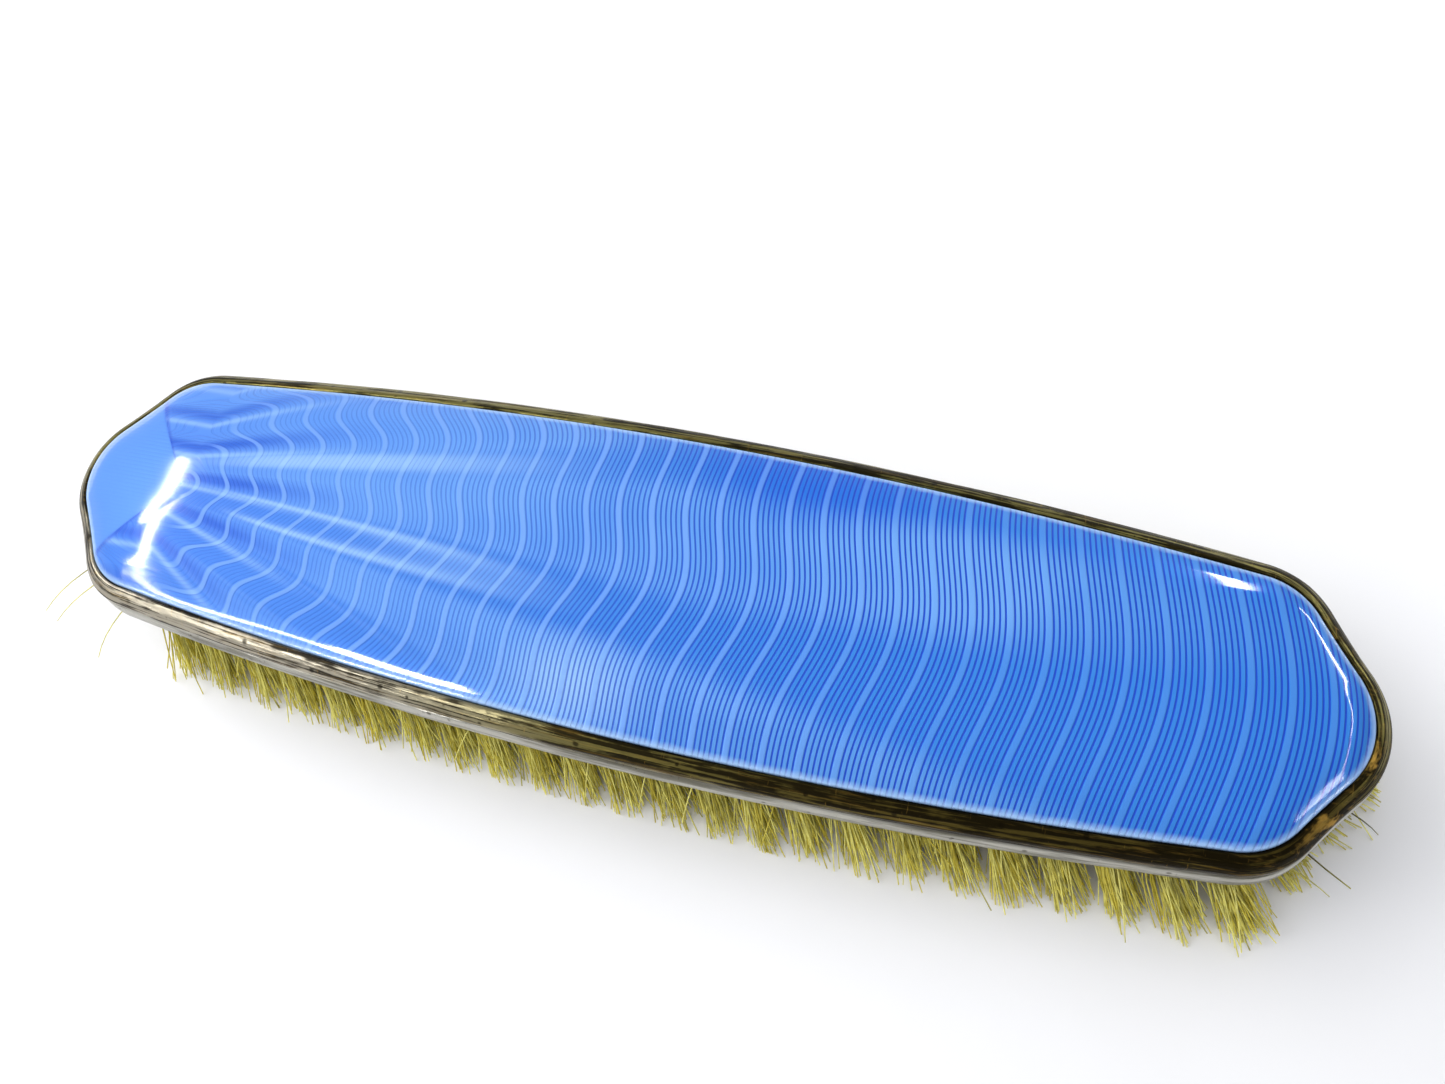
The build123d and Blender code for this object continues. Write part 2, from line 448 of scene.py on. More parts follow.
def rimMaterial():
    look = rimLook
    material, tree, shader = newMaterial("tarnishedRimPaintedReflection")
    spot = objectPlace(tree)
    x, y, z = split(spot)
    nearSide = ramp(y, 0.004, -0.012)
    # painted reflection: bright silver at the near left, dull olive along the far side, dark bronze at the
    # near right
    dull = mixColour(times(ramp(x, -0.03, 0.04), nearSide), look["olive"], look["bronze"])
    body = mixColour(times(ramp(x, 0.002, -0.040), nearSide), dull, look["silver"])
    track = readAttribute(tree, "track", "Vector")
    streaks = noiseAt(stretch(track, (55, 55, 2100)), 1.0, 4.0, 0.62)
    blotch = noiseAt(stretch(track, (190, 190, 500)), 1.0, 4.0, 0.6)
    mottle = plus(times(streaks, 0.7), times(blotch, 0.3))
    # tarnish streaks, with more of them towards the right end, adding to the painted dark reflection there
    grime = ramp(plus(mottle, ramp(x, -0.04, 0.075, 0.03, 0.09)), 0.49, 0.59)
    aged = mixColour(times(grime, 0.94), body, look["black"])
    streak = placeGroup(scratches, spot, Scale=1.0, Amount=0.8)
    # painted glints: gold highlights on the nose
    noseGlint = times(ramp(blotch, 0.56, 0.68), ramp(x, 0.072, 0.082))
    giltAndGlint = mixColour(plus(times(streak["Mask"], 0.18), times(noseGlint, 0.8), clamp=True), aged, look["gold"])
    spotted = mixColour(times(spotsAt(spot, 800.0, 0.35, 0.16), 0.8), giltAndGlint, look["black"])
    feedAll(shader, {"Base Color": spotted, "Metallic": 1.0, "Roughness": plus(0.30, times(grime, 0.22))})
    bumpNormal(shader, plus(blotch, times(streaks, 0.6)), 0.00016)
    return material


bandLook = {
    "silver": colour(0.70, 0.69, 0.65),
    "grey": colour(0.46, 0.45, 0.40),
    "brown": colour(0.20, 0.17, 0.11),
}


def bandMaterial():
    look = bandLook
    material, tree, shader = newMaterial("wornSilver")
    spot = objectPlace(tree)
    track = readAttribute(tree, "track", "Vector")
    blotch = noiseAt(stretch(track, (60, 60, 700)), 1.0, 4.0, 0.6)
    streak = placeGroup(scratches, spot, Scale=0.8, Amount=0.9)
    worn = mixColour(ramp(blotch, 0.40, 0.62), look["silver"], look["grey"])
    lined = mixColour(times(streak["Mask"], 0.45), worn, look["brown"])
    spotted = mixColour(times(spotsAt(spot, 750.0, 0.3, 0.2), 0.7), lined, look["brown"])
    polish = ramp(blotch, 0.3, 0.7, 0.28, 0.46)
    feedAll(shader, {"Base Color": spotted, "Metallic": 1.0, "Roughness": polish})
    bumpNormal(shader, streak["Height"], 0.00008)
    return material


bristleLook = {
    # the root tone serves as the painted shade at the roots and as the colour of darker fibres
    "root": colour(0.40, 0.345, 0.01),
    "tip": colour(1.00, 0.97, 0.55),
    "amber": colour(0.84, 0.755, 0.13),
    "shaded": colour(0.22, 0.185, 0.0),
}


def bristleMaterial():
    look = bristleLook
    material, tree, shader = newMaterial("bristle")
    shade, along = readAttribute(tree, "shade"), readAttribute(tree, "along")
    spot = objectPlace(tree)
    x, y, z = split(spot)
    # painted shade: darker towards the roots, near the block
    rootShaded = mixColour(ramp(along, 0.0, 0.75), look["root"], look["tip"])
    varied = mixColour(ramp(shade, 0.35, 1.0, 0.0, 0.75), rootShaded, look["amber"])
    varied = mixColour(ramp(shade, 0.22, 0.0, 0.0, 0.6), varied, look["root"])
    grain = noiseAt(stretch(spot, (900, 900, 220)), 1.0, 2.0, 0.5)
    mottled = mixColour(ramp(grain, 0.35, 0.7, 0.0, 0.3), varied, look["root"])
    # painted shade: the inner rows, far inside the brush, are darkened where they lie in shade
    innerRowShade = times(ramp(calc("ABSOLUTE", y), 0.0165, 0.0115), ramp(z, 0.001, 0.007, 0.0, 0.95))
    shaded = mixColour(innerRowShade, mottled, look["shaded"])
    feedAll(shader, {"Base Color": shaded, "Roughness": 0.45, "Specular IOR Level": 0.12})
    return material


woodLook = {"light": colour(0.50, 0.31, 0.16), "dark": colour(0.27, 0.14, 0.07)}


def woodMaterial(name, shift, gloss):
    material, tree, shader = newMaterial(name)
    spot = objectPlace(tree)
    grain = noiseAt(stretch(spot, (22, 260, 260), Location=shift), 1.0, 6.0, 0.6)
    pores = noiseAt(stretch(spot, (300, 3800, 3800)), 1.0, 2.0, 0.5)
    toned = mixColour(ramp(grain, 0.3, 0.7), woodLook["light"], woodLook["dark"])
    pored = mixColour(ramp(pores, 0.55, 0.75, 0.0, 0.6), toned, woodLook["dark"])
    feedAll(shader, {"Base Color": pored, "Roughness": gloss})
    bumpNormal(shader, plus(grain, pores), 0.00008)
    return material


def metalMaterial(name, base, dull, roughness):
    material, tree, shader = newMaterial(name)
    spot = objectPlace(tree)
    streak = placeGroup(scratches, spot, Scale=1.0, Amount=0.7)
    cloud = noiseAt(spot, 300.0, 3.0, 0.6)
    toned = mixColour(times(cloud, streak["Mask"]), base, dull)
    feedAll(shader, {"Base Color": toned, "Metallic": 1.0, "Roughness": roughness})
    bumpNormal(shader, streak["Height"], 0.00005)
    return material


plateLook = {
    "bright": colour(0.86, 0.86, 0.88),
    "tarnish": colour(0.6, 0.57, 0.52),
    "line": colour(0.5, 0.5, 0.53),
}


def turnedPlateMaterial():
    look = plateLook
    material, tree, shader = newMaterial("turnedSilver")
    spot = objectPlace(tree)
    cut = turnedLines(spot)
    tarnish = noiseAt(spot, 60.0, 3.0, 0.5)
    bright = mixColour(ramp(tarnish, 0.5, 0.75), look["bright"], look["tarnish"])
    toned = mixColour(times(cut["Lines"], 0.4), bright, look["line"])
    feedAll(shader, {"Base Color": toned, "Metallic": 1.0, "Roughness": 0.25})
    bumpNormal(shader, times(cut["Lines"], -1.0), 0.00006)
    return material


def grainyMaterial(name, light, dark, scale, roughness):
    material, tree, shader = newMaterial(name)
    spot = objectPlace(tree)
    fine = noiseAt(spot, scale, 5.0, 0.6)
    toned = mixColour(ramp(fine, 0.35, 0.65), light, dark)
    spotted = mixColour(times(spotsAt(spot, scale * 0.7, 0.35, 0.3), 0.5), toned, dark)
    feedAll(shader, {"Base Color": spotted, "Roughness": roughness})
    bumpNormal(shader, fine, 0.0001)
    return material


finishes = {
    "enamel": enamelMaterial(),
    "rim": rimMaterial(),
    "band": bandMaterial(),
    "bristle": bristleMaterial(),
    "block": woodMaterial("varnishedWood", (0.3, 0.1, 0.0), 0.35),
    "board": woodMaterial("plainWood", (1.7, 0.4, 0.0), 0.7),
    "plate": turnedPlateMaterial(),
    "counter": grainyMaterial("counterEnamel", colour(0.36, 0.42, 0.58), colour(0.16, 0.20, 0.34),
                              700.0, 0.3),
    "cement": grainyMaterial("settingCement", colour(0.62, 0.52, 0.38), colour(0.40, 0.32, 0.22),
                             500.0, 0.9),
    "wire": metalMaterial("brassWire", colour(0.80, 0.62, 0.32), colour(0.40, 0.28, 0.12), 0.3),
}
print("finishes made:", len(finishes))

cadFinishes = {
    "engine_turned_plate": "plate",
    "counter_enamel": "counter",
    "cement_bed": "cement",
    "backing_board": "board",
    "bristle_block": "block",
}
for name in nodes:
    if name.startswith("drawing_wire"):
        cadFinishes[name] = "wire"
for name, finish in cadFinishes.items():
    nodes[name].data.materials.clear()
    nodes[name].data.materials.append(finishes[finish])

# plan of the plaque, in mm: two bowed sides and four chamfers, all corners rounded

planShape = {
    "halfWidth": 19.7,
    "cornerX": 73.2,
    "cornerY": 15.25,
    "noseX": 84.35,
    "noseRadius": 9.8,
    "cornerRadius": 8.5,
    "hollow": 0.06,
    "rimWidth": 2.2,
    "rimHollow": 0.25,         # how much more the rim's chamfers are hollowed than the plaque's
    "points": 640,
}


def roundedCorner(before, corner, after, radius, count):
    toBefore = (before - corner) / np.linalg.norm(before - corner)
    toAfter = (after - corner) / np.linalg.norm(after - corner)
    half = math.acos(float(toBefore @ toAfter)) / 2
    middle = toBefore + toAfter
    centre = corner + middle / np.linalg.norm(middle) * radius / math.sin(half)
    first = corner + toBefore * radius / math.tan(half) - centre
    last = corner + toAfter * radius / math.tan(half) - centre
    share = np.linspace(0, 1, count)[:, None]
    arc = (1 - share) * first + share * last
    return centre + arc / np.linalg.norm(arc, axis=1)[:, None] * radius


def plaquePlan():
    # one quarter from the nose to the middle of a side, mirrored into the whole
    shape = planShape
    nose = np.array([shape["noseX"], 0.0])
    corner = np.array([shape["cornerX"], shape["cornerY"]])
    bow = shape["halfWidth"] - shape["cornerY"]
    sideWay = np.array([-1.0, 2 * bow / shape["cornerX"]])
    tip = roundedCorner(nose + (corner - nose) * [1, -1], nose, corner, shape["noseRadius"], 61)[30:]
    bend = roundedCorner(nose, corner, corner + sideWay, shape["cornerRadius"], 40)
    share = np.linspace(0, 1, 60)[1:-1, None]
    way = (corner - nose) / np.linalg.norm(corner - nose)
    inward = np.array([-way[1], way[0]])
    chamfer = (1 - share) * tip[-1] + share * bend[0] + inward * shape["hollow"] * 4 * share * (1 - share)
    sideX = np.linspace(bend[-1, 0], 0, 80)[1:]
    side = np.c_[sideX, shape["cornerY"] + bow * (1 - (sideX / shape["cornerX"]) ** 2)]
    quarter = np.vstack([tip, chamfer, bend, side])
    return np.vstack([quarter, (quarter * [-1, 1])[::-1][1:], (quarter * [-1, -1])[1:],
                      (quarter * [1, -1])[::-1][1:-1]])


def evenLoop(loop, count):
    closed = np.vstack([loop, loop[:1]])
    length = np.r_[0, np.cumsum(np.linalg.norm(np.diff(closed, axis=0), axis=1))]
    at = np.linspace(0, length[-1], count, endpoint=False)
    return np.c_[np.interp(at, length, closed[:, 0]), np.interp(at, length, closed[:, 1])]


def outward(loop):
    way = np.roll(loop, -1, 0) - np.roll(loop, 1, 0)
    way /= np.linalg.norm(way, axis=1)[:, None]
    return np.c_[way[:, 1], -way[:, 0]]


plan = evenLoop(plaquePlan(), planShape["points"])
planNormal = outward(plan)
chamferRun = planShape["noseX"] - planShape["cornerX"]
onChamfer = np.clip((np.abs(plan[:, 0]) - planShape["cornerX"]) / chamferRun, 0, 1)
hollowing = planShape["rimHollow"] * 4 * onChamfer * (1 - onChamfer)


def planAt(outset):
    # the plan moved outwards by outset in mm; the rim's chamfers hollow a little more
    share = np.clip(outset / planShape["rimWidth"], 0, 1.5)
    return plan + planNormal * (outset - hollowing * share)[:, None]


def makeMesh(name, vertices, faces, material, smooth=True):
    mesh = bpy.data.meshes.new(name)
    mesh.from_pydata([tuple(v) for v in vertices], [], faces)
    mesh.update()
    mesh.polygons.foreach_set("use_smooth", [smooth] * len(mesh.polygons))
    mesh.materials.append(material)
    made = bpy.data.objects.new(name, mesh)
    bpy.context.scene.collection.objects.link(made)
    return made


def ringFaces(rings, count, closeRings=False):
    faces = []
    last = rings if closeRings else rings - 1
    for ring in range(last):
        low, high = ring * count, (ring + 1) % rings * count
        for step in range(count):
            following = (step + 1) % count
            faces.append((low + step, low + following, high + following, high + step))
    return faces


enamelShape = {
    "edgeHeight": 20.0,         # mm above the rest plane
    "rise": 3.0,
    "swell": 4.2,               # how square the cushion is
    "thickness": 0.6,
    "lipRadius": 0.3,
    "evenInset": 7.5,           # rings follow the edge this far in, then close on the middle line
    "edgeRings": 26,
    "middleRings": 18,
    "gridStep": 0.4,
    "gridHalf": (92, 27),
    "blur": 2.6,
    "blendFrom": 1.5,           # the blurred height takes over from this inset on
    "blendOver": 5.0,
}


def easeIn(share):
    return share * share * (3 - 2 * share)


def cushionInset(loop, inset):
    # near the edge the cushion follows the outline; further in, a soft mean of the distances
    # to all eight sides, so that its ends are rounded and not roof-like
    shape, half = planShape, planShape["halfWidth"]
    x, y = loop[:, 0], loop[:, 1]
    side = shape["cornerY"] + (half - shape["cornerY"]) * (1 - (x / shape["cornerX"]) ** 2)
    run, drop = shape["noseX"] - shape["cornerX"], shape["cornerY"]
    slant = math.hypot(run, drop)
    reaches = [side - y, side + y]
    for alongSign in (1, -1):
        for acrossSign in (1, -1):
            reaches.append(((shape["noseX"] - alongSign * x) * drop - acrossSign * y * run) / slant)
    softest = sum(1 / np.maximum(reach, 0.05) ** 2 for reach in reaches) ** -0.5
    even = np.linspace(0, half, 300)
    softEven = even * (2 * half - even) / np.hypot(even, 2 * half - even)
    soft = np.interp(softest, softEven, even)
    share = easeIn(np.clip((inset - 0.6) / 4.8, 0, 1))
    return inset * (1 - share) + soft * share


def riseAt(depth):
    share = np.minimum(depth / planShape["halfWidth"], 1)
    return enamelShape["rise"] * (1 - (1 - share) ** enamelShape["swell"])


def enamelHeight(loop, inset):
    return riseAt(np.maximum(cushionInset(loop, inset), 0))


def makeHeightField():
    # the cushion's height on a fine grid, blurred so that no crease is left
    step, blur = enamelShape["gridStep"], enamelShape["blur"]
    sides = [np.arange(-half, half, step) for half in enamelShape["gridHalf"]]
    gridX, gridY = np.meshgrid(*sides, indexing="ij")
    spots = np.c_[gridX.ravel(), gridY.ravel()]
    insets = []
    for some in np.array_split(spots, 40):
        nearest = np.argmin(((some[:, None] - plan) ** 2).sum(2), 1)
        insets.append(-((some - plan[nearest]) * planNormal[nearest]).sum(1))
    inset = np.maximum(np.concatenate(insets), -4.0)
    field = riseAt(np.where(inset > 0, cushionInset(spots, inset), inset)).reshape(gridX.shape)
    for axis in (0, 1):
        wave = np.fft.rfftfreq(field.shape[axis], step) * 2 * math.pi
        calm = np.exp(-0.5 * (wave * blur) ** 2).reshape((-1, 1) if axis == 0 else (1, -1))
        field = np.fft.irfft(np.fft.rfft(field, axis=axis) * calm, field.shape[axis], axis)
    return field


def blurLoss():
    # how much the blur alone takes off a straight edge, at each depth, so that it can be put back
    depth = np.arange(-30, 60, 0.1)
    reach = np.arange(-10, 10.05, 0.1)
    kernel = np.exp(-0.5 * (reach / enamelShape["blur"]) ** 2)
    section = riseAt(np.maximum(depth, -4.0))
    return depth, section - np.convolve(section, kernel / kernel.sum(), "same")


heightField = makeHeightField()
lossDepth, loss = blurLoss()


def evenHeights(loop, inset):
    # the exact section near the edge, the blurred field further in
    height = enamelHeight(loop, inset) * np.ones(len(loop))
    shape = enamelShape
    share = easeIn(min(1.0, max(0.0, (inset - shape["blendFrom"]) / shape["blendOver"])))
    at = (loop + shape["gridHalf"]) / shape["gridStep"]
    low = np.floor(at).astype(int)
    part = at - low
    curve = [-0.5 * part + part ** 2 - 0.5 * part ** 3, 1 - 2.5 * part ** 2 + 1.5 * part ** 3,
             0.5 * part + 2 * part ** 2 - 1.5 * part ** 3, -0.5 * part ** 2 + 0.5 * part ** 3]
    inside = sum(curve[i][:, 0] * curve[j][:, 1] * heightField[low[:, 0] + i - 1, low[:, 1] + j - 1]
                 for i in range(4) for j in range(4))
    inside += np.interp(inset, lossDepth, loss)
    return height * (1 - share) + inside * share


def enamelRings():
    # plan rings from the lip to the middle line, each with its distance from the edge
    shape = enamelShape
    rings = []
    for share in np.linspace(0, 1, shape["edgeRings"]):
        inset = shape["lipRadius"] + (shape["evenInset"] - shape["lipRadius"]) * share ** 1.3
        rings.append((plan - planNormal * inset, inset))
    inner = rings[-1][0]
    reach = planShape["halfWidth"] - shape["evenInset"]
    spine = np.abs(inner[:, 0]).max() - reach
    middle = np.c_[np.clip(inner[:, 0], -spine, spine), np.zeros(len(inner))]
    for share in np.linspace(0, 1, shape["middleRings"] + 1)[1:-1]:
        rings.append((inner + (middle - inner) * share, shape["evenInset"] + reach * share))
    return rings


def makeEnamel():
    # a closed skin: lens-like top, rounded lip, straight edge and an even underside
    shape = enamelShape
    rings = enamelRings()
    count, lip = len(plan), shape["lipRadius"]
    base = shape["edgeHeight"]
    under = base - shape["thickness"]
    levels = [(loop, under + evenHeights(loop, inset), inset) for loop, inset in rings[::-1]]
    levels.append((plan, under, 0.0))
    for turn in np.radians((0, 22, 45, 68)):
        inset = lip * (1 - math.cos(turn))
        lift = (lip + enamelHeight(plan, lip)) * math.sin(turn)
        levels.append((plan - planNormal * inset, base - lip + lift, inset))
    levels += [(loop, base + evenHeights(loop, inset), inset) for loop, inset in rings]
    vertices = np.vstack([np.c_[loop, height * np.ones(count)] for loop, height, inset in levels])
    insets = np.repeat([inset for loop, height, inset in levels], count)
    faces = ringFaces(len(levels), count)
    # close each innermost ring along the middle line, where its two sides nearly meet
    for start, up in ((0, False), ((len(levels) - 1) * count, True)):
        for step in range(count // 2):
            across = [step, step + 1, count - step - 1, (count - step) % count]
            face = [start + v for i, v in enumerate(across) if v not in across[:i]]
            if len(face) > 2:
                faces.append(tuple(face if up else face[::-1]))
    enamel = makeMesh("enamelSkin", vertices * mm, faces, finishes["enamel"])
    kept = enamel.data.attributes.new("fromEdge", "FLOAT", "POINT")
    kept.data.foreach_set("value", insets.astype(np.float32))
    return enamel


def sweepPlan(name, profile, material, waver, seed):
    # a closed section, as (outset, height) in mm, carried round the plan; waver is its unevenness
    count = len(plan)

    def uneven(length, shift):
        heights = [noise.noise(Vector((x / length, y / length, seed + shift))) for x, y in plan]
        return np.array(heights) * waver

    rings = []
    for index, (outset, height) in enumerate(profile):
        push = uneven(9, index * 0.15)
        drop = uneven(14, 40 + index * 0.15)
        rings.append(np.c_[planAt(outset) + planNormal * push[:, None], height + drop * 0.5])
    swept = makeMesh(name, np.vstack(rings) * mm, ringFaces(len(profile), count, True), material)
    # where a point is round the brush and across the section, without a seam, for the streaks
    turn = np.arange(count) * 2 * math.pi / count
    section = np.array(profile)
    across = np.r_[0, np.cumsum(np.linalg.norm(np.diff(section, axis=0), axis=1))]
    track = [np.c_[np.cos(turn) * 62, np.sin(turn) * 62, np.full(count, far)] for far in across]
    kept = swept.data.attributes.new("track", "FLOAT_VECTOR", "POINT")
    kept.data.foreach_set("vector", (np.vstack(track) * mm).astype(np.float32).ravel())
    return swept


def smoothProfile(points, steps):
    # rounds a closed section by cutting its corners, once for each step
    loop = np.array(points, float)
    for _ in range(steps):
        following = np.roll(loop, -1, 0)
        loop = np.stack([loop * 0.75 + following * 0.25, loop * 0.25 + following * 0.75], 1).reshape(-1, 2)
    return loop


rimSection = [
    (0.03, 18.95), (0.03, 19.75), (0.32, 19.98), (0.75, 19.82), (1.15, 19.60), (1.62, 19.20),
    (2.02, 18.72), (2.18, 18.35), (2.20, 17.95), (2.20, 17.55), (1.95, 17.50), (1.65, 17.55),
    (1.62, 18.20), (1.30, 18.60), (0.70, 18.85),
]
bandSection = [
    (1.48, 17.80), (1.02, 17.80), (0.98, 15.5), (0.98, 13.80), (-0.50, 13.72), (-0.50, 13.22),
    (1.00, 13.20), (1.95, 13.20), (2.25, 13.45), (2.52, 14.25), (2.64, 15.10), (2.55, 15.95),
    (2.32, 16.75), (2.05, 17.02), (1.62, 17.08), (1.48, 17.20),
]


def finishPiece(piece, slotName, *stoodFor):
    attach(piece, "root")
    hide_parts(*stoodFor)


finishPiece(makeEnamel(), "enamel", "enamel_panel")
print("enamel skin made")
rim = sweepPlan("rimMoulding", smoothProfile(rimSection, 2)[::-1], finishes["rim"], 0.07, 3.0)
finishPiece(rim, "bezel", "bezel_frame")
band = sweepPlan("sideBand", smoothProfile(bandSection, 1)[::-1], finishes["band"], 0.06, 11.0)
finishPiece(band, "band", "skirt_band")
print("rim and side band made")

# bristles

tuftShape = {
    "Fibres": 110,
    "Root Radius": 0.0009,
    "Spread": 0.0026,
    "Fibre Radius": 0.00014,
    "Bend": 0.0010,
    "Stray Share": 0.02,
    "Stray Reach": 1.35,
}


def geometryGroup(name, inputs):
    tree = bpy.data.node_groups.new(name, "GeometryNodeTree")
    tree.interface.new_socket("Geometry", in_out="INPUT", socket_type="NodeSocketGeometry")
    for label, kind in inputs:
        tree.interface.new_socket(label, in_out="INPUT", socket_type=kind)
    tree.interface.new_socket("Geometry", in_out="OUTPUT", socket_type="NodeSocketGeometry")
    return tree, addNode(tree, "NodeGroupInput").outputs, addNode(tree, "NodeGroupOutput").inputs


def openSocket(sockets, name):
    # of the sockets with this name, the one that the node's settings have opened
    return next(socket for socket in sockets if socket.name == name and socket.enabled)


def randomNumber(low, high, seed, base):
    made = addNode(base.id_data, "FunctionNodeRandomValue", data_type="FLOAT")
    for label, value in (("Min", low), ("Max", high), ("Seed", plus(base, float(seed)))):
        feed(openSocket(made.inputs, label), value)
    return openSocket(made.outputs, "Value")


def storeValue(geometry, name, kind, value):
    made = addNode(geometry.id_data, "GeometryNodeStoreNamedAttribute", data_type=kind, domain="POINT")
    feedAll(made, {"Geometry": geometry, "Name": name})
    feed(openSocket(made.inputs, "Value"), value)
    return made.outputs[0]


def readValue(tree, name):
    made = addNode(tree, "GeometryNodeInputNamedAttribute", data_type="FLOAT_VECTOR")
    feed(made.inputs["Name"], name)
    return openSocket(made.outputs, "Attribute")


def makeTuftTree():
    # each point of the input is the middle of a hole, and its tuftTip is the middle of the fan
    tree, start, end = geometryGroup("tufts", [
        ("Fibres", "NodeSocketInt"), ("Root Radius", number), ("Spread", number), ("Fibre Radius", number),
        ("Bend", number), ("Stray Share", number), ("Stray Reach", number), ("Low Corner", place),
        ("High Corner", place), ("Seed", "NodeSocketInt"), ("Material", "NodeSocketMaterial"),
    ])
    seed = start["Seed"]

    def made(kind, values, **settings):
        return feedAll(addNode(tree, kind, **settings), values).outputs[0]

    def pick(index, low=0.0, high=1.0):
        return randomNumber(low, high, index, seed)

    points = made("GeometryNodeMeshToPoints", {"Mesh": start["Geometry"]})
    many = made("GeometryNodeDuplicateElements", {"Geometry": points, "Amount": start["Fibres"]},
                domain="POINT")
    # where in the tuft the fibre stands: the same place, spread, at root and tip
    turn, out = pick(1, 0.0, 2 * math.pi), calc("SQRT", pick(2))
    inDisc = scaleVector(combine(calc("COSINE", turn), calc("SINE", turn), 0.0), out)
    stray = calc("LESS_THAN", pick(3), start["Stray Share"])
    reach = plus(1.0, times(stray, start["Stray Reach"]))
    spread = times(start["Spread"], reach, pick(4, 0.72, 1.18))
    wander = combine(pick(5, -1.0), pick(6, -1.0), 0.0)
    centre = addNode(tree, "GeometryNodeInputPosition").outputs[0]
    root = vectorCalc("ADD", centre, scaleVector(inDisc, start["Root Radius"]))
    fan = vectorCalc("ADD", scaleVector(inDisc, spread), scaleVector(wander, times(start["Bend"], 1.3)))
    # most fibres end near the tuft's tip, a few well short of it
    lift = times(calc("POWER", pick(7), 2.2), plus(0.0028, times(stray, 0.004)))
    tip = vectorCalc("ADD", vectorCalc("ADD", readValue(tree, "tuftTip"), fan), combine(0.0, 0.0, lift))
    tip = vectorCalc("MINIMUM", vectorCalc("MAXIMUM", tip, start["Low Corner"]), start["High Corner"])
    bend = scaleVector(combine(pick(8, -1.0), pick(9, -1.0), 0.0), start["Bend"])
    for name, value in (("fibreRoot", root), ("fibreTip", tip), ("fibreBend", bend)):
        many = storeValue(many, name, "FLOAT_VECTOR", value)
    many = storeValue(many, "shade", "FLOAT", pick(10))
    strand = made("GeometryNodeCurvePrimitiveLine", {"End": (0.0, 0.0, 0.01)})
    resample = made("GeometryNodeResampleCurve", {"Curve": strand, "Count": 6})
    rootShaded = made("GeometryNodeInstanceOnPoints", {"Points": many, "Instance": resample})
    realized = made("GeometryNodeRealizeInstances", {0: rootShaded})
    # each fibre leaves its hole straight down and bends over on the way to its tip
    along = addNode(tree, "GeometryNodeSplineParameter").outputs["Factor"]
    rootAt, tipAt = readValue(tree, "fibreRoot"), readValue(tree, "fibreTip")
    straight = vectorCalc("SUBTRACT", tipAt, rootAt)
    sideways = vectorCalc("MULTIPLY", straight, (1.0, 1.0, 0.0))
    down = vectorCalc("MULTIPLY", straight, (0.0, 0.0, 1.0))
    arch = times(along, minus(1.0, along), 4.0)
    eased = calc("POWER", along, 1.65)
    where = rootAt
    for way, share in ((sideways, eased), (down, along), (readValue(tree, "fibreBend"), arch)):
        where = vectorCalc("ADD", where, scaleVector(way, share))
    moved = made("GeometryNodeSetPosition", {"Geometry": realized, "Position": where})
    marked = storeValue(moved, "along", "FLOAT", along)
    taper = minus(1.0, times(along, 0.45))
    thick = made("GeometryNodeSetCurveRadius", {"Curve": marked, "Radius": taper})
    section = made("GeometryNodeCurvePrimitiveCircle", {"Resolution": 4, "Radius": start["Fibre Radius"]},
                   mode="RADIUS")
    solid = addNode(tree, "GeometryNodeCurveToMesh")
    feedAll(solid, {"Curve": thick, "Profile Curve": section, "Fill Caps": True})
    if "Scale" in solid.inputs:
        feed(solid.inputs["Scale"], taper)
    smooth = made("GeometryNodeSetShadeSmooth", {"Geometry": solid.outputs[0]})
    real = made("GeometryNodeRealizeInstances", {0: smooth})
    coloured = made("GeometryNodeSetMaterial", {"Geometry": real, "Material": start["Material"]})
    feed(end["Geometry"], coloured)
    return tree


def clusterCentres(points, gap):
    # middles of groups of points that lie along X with gaps between them
    ordered = points[np.argsort(points[:, 0])]
    cuts = np.where(np.diff(ordered[:, 0]) > gap)[0] + 1
    return np.array([(part.min(0) + part.max(0)) / 2 for part in np.split(ordered, cuts)])


def tuftEnds(nodeName):
    # each tuft's hole mouth and tip, read from its solid
    corners = np.array([v.co for v in nodes[nodeName].data.vertices])
    top, bottom = corners[:, 2].max(), corners[:, 2].min()
    roots = clusterCentres(corners[corners[:, 2] > top - 0.01 * mm], 1.5 * mm)
    tips = clusterCentres(corners[corners[:, 2] < bottom + 0.01 * mm], 0.4 * mm)
    roots[:, 2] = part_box("bristle_block")[0].z + 0.8 * mm
    return roots, tips


def runTree(name, tree, roots, tips, values):
    mesh = bpy.data.meshes.new(name)
    mesh.from_pydata([tuple(v) for v in roots], [], [])
    kept = mesh.attributes.new("tuftTip", "FLOAT_VECTOR", "POINT")
    kept.data.foreach_set("vector", tips.astype(np.float32).ravel())
    made = bpy.data.objects.new(name, mesh)
    bpy.context.scene.collection.objects.link(made)
    modifier = made.modifiers.new("tufts", "NODES")
    modifier.node_group = tree
    for socket in tree.interface.items_tree:
        if socket.in_out == "INPUT" and socket.name in values:
            modifier[socket.identifier] = values[socket.name]
    graph = bpy.context.evaluated_depsgraph_get()
    result = bpy.data.meshes.new_from_object(made.evaluated_get(graph), preserve_all_data_layers=True,
                                             depsgraph=graph)
    made.modifiers.remove(modifier)
    made.data = result
    bpy.data.meshes.remove(mesh)
    result.name = name
    for attribute in ("fibreRoot", "fibreTip", "fibreBend", "tuftTip"):
        if attribute in result.attributes:
            result.attributes.remove(result.attributes[attribute])
    return made


# mm that use has bent the tips, towards +X and outwards
sweep = {"all": 4.0, "farEnd": 0.6, "outward": 1.7}


